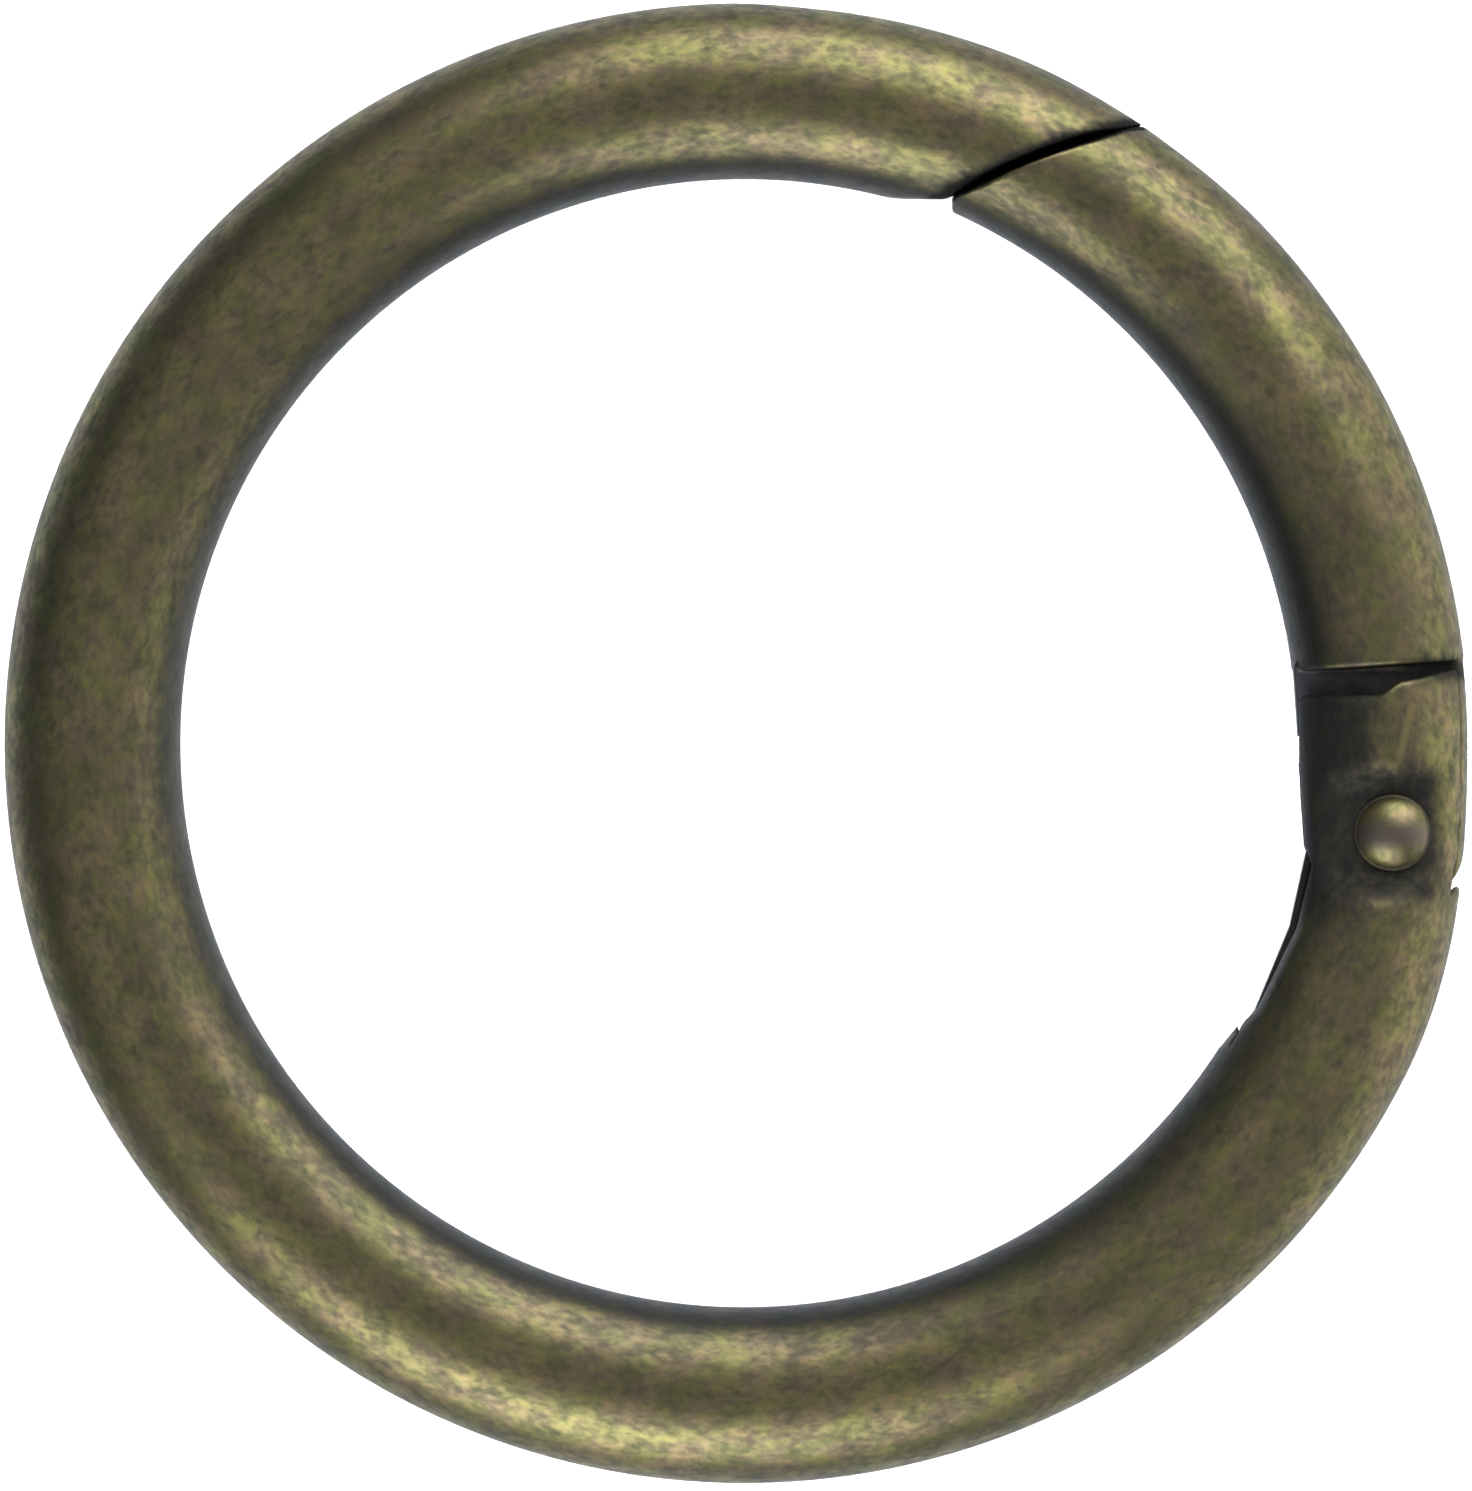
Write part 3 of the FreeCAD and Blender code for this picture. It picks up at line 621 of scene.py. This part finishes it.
def brass(tree, where, worn=0.0):
    """Olive and gold mottle with a fine dark grain: its colour, tone, mottle and surface height."""
    streaked = drawn_out(tree, where)
    blotch = noise(tree, where, 0.35, detail=3, rough=0.6)
    mottle = noise(tree, streaked, 0.92, detail=4, rough=0.65, offset=(3, 1, 5))
    hue = noise(tree, streaked, 0.68, detail=4, rough=0.6, offset=(9, 4, 2))
    grain = noise(tree, streaked, 2.7, detail=1.5, rough=0.5, offset=(7, 2, 1))
    tone = sums(tree, "ADD", sums(tree, "MULTIPLY", mottle, 0.62), sums(tree, "MULTIPLY", grain, 0.38))
    tone = sums(tree, "ADD", tone, worn)
    colour = mixed(tree, spread(tree, tone, 0.28, 0.58), BRASS_DULL, BRASS_MID)
    colour = mixed(tree, spread(tree, tone, 0.46, 0.72), colour, BRASS_BRIGHT)
    colour = mixed(tree, spread(tree, blotch, 0.35, 0.65, 0.35, 0.0), colour, BRASS_DULL)
    tint = mixed(tree, spread(tree, hue, 0.38, 0.62), GREENER, REDDER)
    colour = mixed(tree, 1.0, colour, tint, "MULTIPLY")
    height = sums(tree, "ADD", sums(tree, "MULTIPLY", grain, 0.5), sums(tree, "MULTIPLY", mottle, 0.5))
    return colour, tone, mottle, height


def finish_metal(material, tree, colour, rough, lacquer, height=None):
    """Join the colour, roughness, lacquer and height up as one metal surface."""
    inputs = {"Base Color": colour, "Metallic": 1.0, "Roughness": rough,
              "Coat Weight": lacquer, "Coat Roughness": 0.4, "Coat IOR": 1.5}
    if height:
        bump = node(tree, "ShaderNodeBump", {"Height": height, "Strength": 0.4, "Distance": 0.04 * MM})
        inputs["Normal"] = bump.outputs[0]
    shader = node(tree, "ShaderNodeBsdfPrincipled", inputs)
    out = node(tree, "ShaderNodeOutputMaterial")
    tree.links.new(shader.outputs[0], out.inputs["Surface"])
    return material


def antique_brass(name, inner=0.35, tongue=0.0):
    """Antique-brass plating with patina and painted shade in the recesses and gaps, painted light and a
    painted highlight.

    The inner side, towards the eye, is darker.
    """
    material, tree = new_tree(name)
    where = node(tree, "ShaderNodeTexCoord").outputs["Object"]
    colour, tone, mottle, height = brass(tree, where)
    shade_and_patina = patina_and_shade(tree, where, mottle, tongue)
    shade_and_patina_colour = mixed(tree, spread(tree, tone, 0.4, 0.65), PATINA_AND_SHADE, BROWN_PATINA_AND_SHADE)
    centre = from_point(tree, where, 0, 0)
    ragged = sums(tree, "ADD", centre, sums(tree, "MULTIPLY", mottle, 0.8))
    # Darker towards the eye.
    colour = mixed(tree, fall(tree, ragged, *EYE_DARKER, inner), colour, PATINA_AND_SHADE)
    # A painted highlight along the ear's crease.
    colour = mixed(tree, crease_highlight(tree, where), colour, BRASS_BRIGHT)
    less_ragged = sums(tree, "ADD", centre, sums(tree, "MULTIPLY", mottle, 0.4))
    # Darker again along the eye's inner rim.
    colour = mixed(tree, fall(tree, less_ragged, *RIM_DARKER, 0.75), colour, PATINA_AND_SHADE)
    # Patina and painted shade in the recesses and gaps.
    colour = mixed(tree, sums(tree, "MULTIPLY", shade_and_patina, 0.95), colour, shade_and_patina_colour)
    # The darkest painted shade next to the lap's joint.
    lap = away_from(tree, from_point(tree, where, LAP_X, LAP_Y), LAP_RAD)
    colour = mixed(tree, product(tree, shade_and_patina, fall(tree, lap, *LAP_DEEP_SHADE, 0.8)), colour, JOINT_SHADE)
    # Painted light on the tongue, and a painted reflection along the ears' inner rims.
    colour = mixed(tree, painted_light(tree, where, tongue), colour, PAINTED_LIGHT_GREY)
    rough = sums(tree, "ADD", spread(tree, tone, 0.35, 0.65, 0.5, 0.38), sums(tree, "MULTIPLY", shade_and_patina, 0.3))
    lacquer = greatest(tree, fall(tree, shade_and_patina, 0.2, 1.0, LACQUER),
                       fall(tree, centre, *RIM_LACQUER, LACQUER))
    return finish_metal(material, tree, colour, rough, lacquer, height)


def rivet_brass(name):
    """Worn brass, with a painted reflection as a purple-grey band over the middle of each head, and patina
    with painted shade round its rim.
    """
    material, tree = new_tree(name)
    where = node(tree, "ShaderNodeTexCoord").outputs["Object"]
    colour, tone, _, height = brass(tree, where, worn=0.08)
    off = away_from(tree, in_mm(tree, where)[1], PIVOT_Y - 0.1)
    # A painted reflection: a purple-grey band across the head's middle.
    colour = mixed(tree, fall(tree, off, *HEAD_REFLECTION_BAND, 0.75), colour, REFLECTION_BAND_COLOUR)
    # Patina with painted shade round the head's rim.
    rim = spread(tree, from_point(tree, where, PIVOT_X, PIVOT_Y), *HEAD_RIM, 0.0, 0.75)
    colour = mixed(tree, rim, colour, BROWN_PATINA_AND_SHADE)
    rough = sums(tree, "ADD", spread(tree, tone, 0.35, 0.65, 0.5, 0.4), sums(tree, "MULTIPLY", rim, 0.2))
    return finish_metal(material, tree, colour, rough, LACQUER, height)


def black_steel(name):
    """Blackened spring strip with faint lengthwise drawing lines."""
    material, tree = new_tree(name)
    where = node(tree, "ShaderNodeTexCoord").outputs["Object"]
    lines = noise(tree, where, 3.0, detail=4, rough=0.6, squeeze=(1, 0.15, 4))
    colour = mixed(tree, lines, STEEL_DARK, STEEL_LIGHT)
    rough = spread(tree, lines, 0.3, 0.7, 0.4, 0.28)
    return finish_metal(material, tree, colour, rough, 0.0)


body_plating = antique_brass("plated_body")
gate_plating = antique_brass("plated_gate", inner=0.5, tongue=0.6)
rivet_plating = rivet_brass("plated_rivet")
strip_steel = black_steel("spring_steel")

# Each grid covers its piece: from one angle to another, with the stretches that need fine faces,
# and from inside the eye to outside the ring, above and below the stock.
ACROSS = (18.2, 25.2, 3.2)
NOSE_AND_FORK = [(53, 75), (-33 + 360, 368)]
TONGUE_AND_TIP = [(-16, 10), (57, 76)]
make_solid("ring_body_cast", "ring_body", "ring", ring_body_field,
           ring_grid(53, 370, NOSE_AND_FORK, *ACROSS), body_plating)
make_solid("gate_cast", "gate", "gate_arm", gate_field,
           ring_grid(-17, 77, TONGUE_AND_TIP, *ACROSS), gate_plating)
make_solid("leaf_strip", "leaf_spring", "spring", leaf_field,
           box_grid((16, -11.2, -1.2), (20.6, 0, 1.2), LEAF_CELL), strip_steel)
make_rivet(rivet_plating)


# ---------------------------------------------------------------- studio

def make_floor():
    """A plain pale table. It isn't seen in the ring's reflections."""
    mesh = bpy.data.meshes.new("floor")
    half = TABLE_SIZE / 2
    mesh.from_pydata([(-half, -half, 0), (half, -half, 0), (half, half, 0), (-half, half, 0)], [],
                     [(0, 1, 2, 3)])
    floor = bpy.data.objects.new("floor", mesh)
    bpy.context.scene.collection.objects.link(floor)
    floor.location.z = -TABLE_DROP
    material, tree = new_tree("table_white")
    shader = node(tree, "ShaderNodeBsdfDiffuse", {"Color": TABLE_WHITE})
    out = node(tree, "ShaderNodeOutputMaterial")
    tree.links.new(shader.outputs[0], out.inputs["Surface"])
    mesh.materials.append(material)
    floor.visible_glossy = False


def soft_box(name, azimuth, zenith, width, height, power, distance=0.5):
    """A soft box aimed at the ring. Azimuth runs round from +X, zenith down from straight above."""
    data = bpy.data.lights.new(name, "AREA")
    data.shape = "RECTANGLE"
    data.size, data.size_y = width, height
    data.energy = power
    lamp = bpy.data.objects.new(name, data)
    bpy.context.scene.collection.objects.link(lamp)
    a, z = math.radians(azimuth), math.radians(zenith)
    away = Vector((math.sin(z) * math.cos(a), math.sin(z) * math.sin(a), math.cos(z)))
    lamp.location = away * distance
    lamp.rotation_euler = away.to_track_quat("Z", "Y").to_euler()
    return lamp


def lobe(tree, direction, azimuth, zenith, inner, outer):
    """How far a direction lies within a soft patch of the room: 1 in its middle, 0 outside."""
    a, z = math.radians(azimuth), math.radians(zenith)
    axis = (math.sin(z) * math.cos(a), math.sin(z) * math.sin(a), math.cos(z))
    dot = node(tree, "ShaderNodeVectorMath", {0: direction, 1: axis}, operation="DOT_PRODUCT")
    return spread(tree, dot.outputs["Value"], math.cos(math.radians(outer)), math.cos(math.radians(inner)))


def make_room():
    """Dim room light: a grey ceiling, dark walls with a pale patch to the right, and table glow."""
    world = bpy.data.worlds.new("room")
    world.use_nodes = True
    tree = world.node_tree
    tree.nodes.clear()
    direction = node(tree, "ShaderNodeTexCoord").outputs["Generated"]
    up = node(tree, "ShaderNodeSeparateXYZ", {0: direction}).outputs[2]
    colour = mixed(tree, spread(tree, up, -0.9, -0.1), TABLE_GLOW, WALL_DARK)
    colour = mixed(tree, spread(tree, up, 0.1, 0.95), colour, CEILING)
    for azimuth, zenith, inner, outer, tone in ROOM_PATCHES:
        colour = mixed(tree, lobe(tree, direction, azimuth, zenith, inner, outer), colour, tone)
    back = node(tree, "ShaderNodeBackground", {"Color": colour, "Strength": 1.0})
    out = node(tree, "ShaderNodeOutputWorld")
    tree.links.new(back.outputs[0], out.inputs["Surface"])
    bpy.context.scene.world = world


TABLE_SIZE, TABLE_DROP = 1.2, 0.02 * MM  # the drop keeps the table just clear of the ring
TABLE_WHITE = (0.9, 0.9, 0.9, 1)
TABLE_GLOW = (0.58, 0.62, 0.72, 1)
WALL_DARK = (0.045, 0.055, 0.075, 1)
CEILING = (0.185, 0.185, 0.205, 1)
ROOM_PATCHES = [(355, 98, 5, 58, (0.62, 0.62, 0.62, 1))]

make_floor()
make_room()
soft_box("light_top", 68, 66, 0.56, 0.48, 1.4)
soft_box("light_bottom", 258, 69, 0.46, 0.42, 1.2)
table_light = soft_box("light_table", 0, 0, 1.2, 1.2, 62, distance=1.3)
table_light.visible_glossy = False

camera_data = bpy.data.cameras.new("camera")
camera = bpy.data.objects.new("camera", camera_data)
bpy.context.scene.collection.objects.link(camera)
bpy.context.scene.camera = camera
HEIGHT = 1.2
SENSOR = 36                    # millimetres, as the lens is
VIEW_SPAN = 50.37 * MM
AIM_X, AIM_Y = -0.284 * MM, -0.078 * MM  # the middle of the photograph, off the ring's centre
camera.location = (AIM_X, AIM_Y, HEIGHT)
camera_data.sensor_width = SENSOR
camera_data.lens = SENSOR * (HEIGHT - MID_Z) / VIEW_SPAN
camera_data.clip_end = 10

bpy.context.scene.view_settings.view_transform = "Standard"
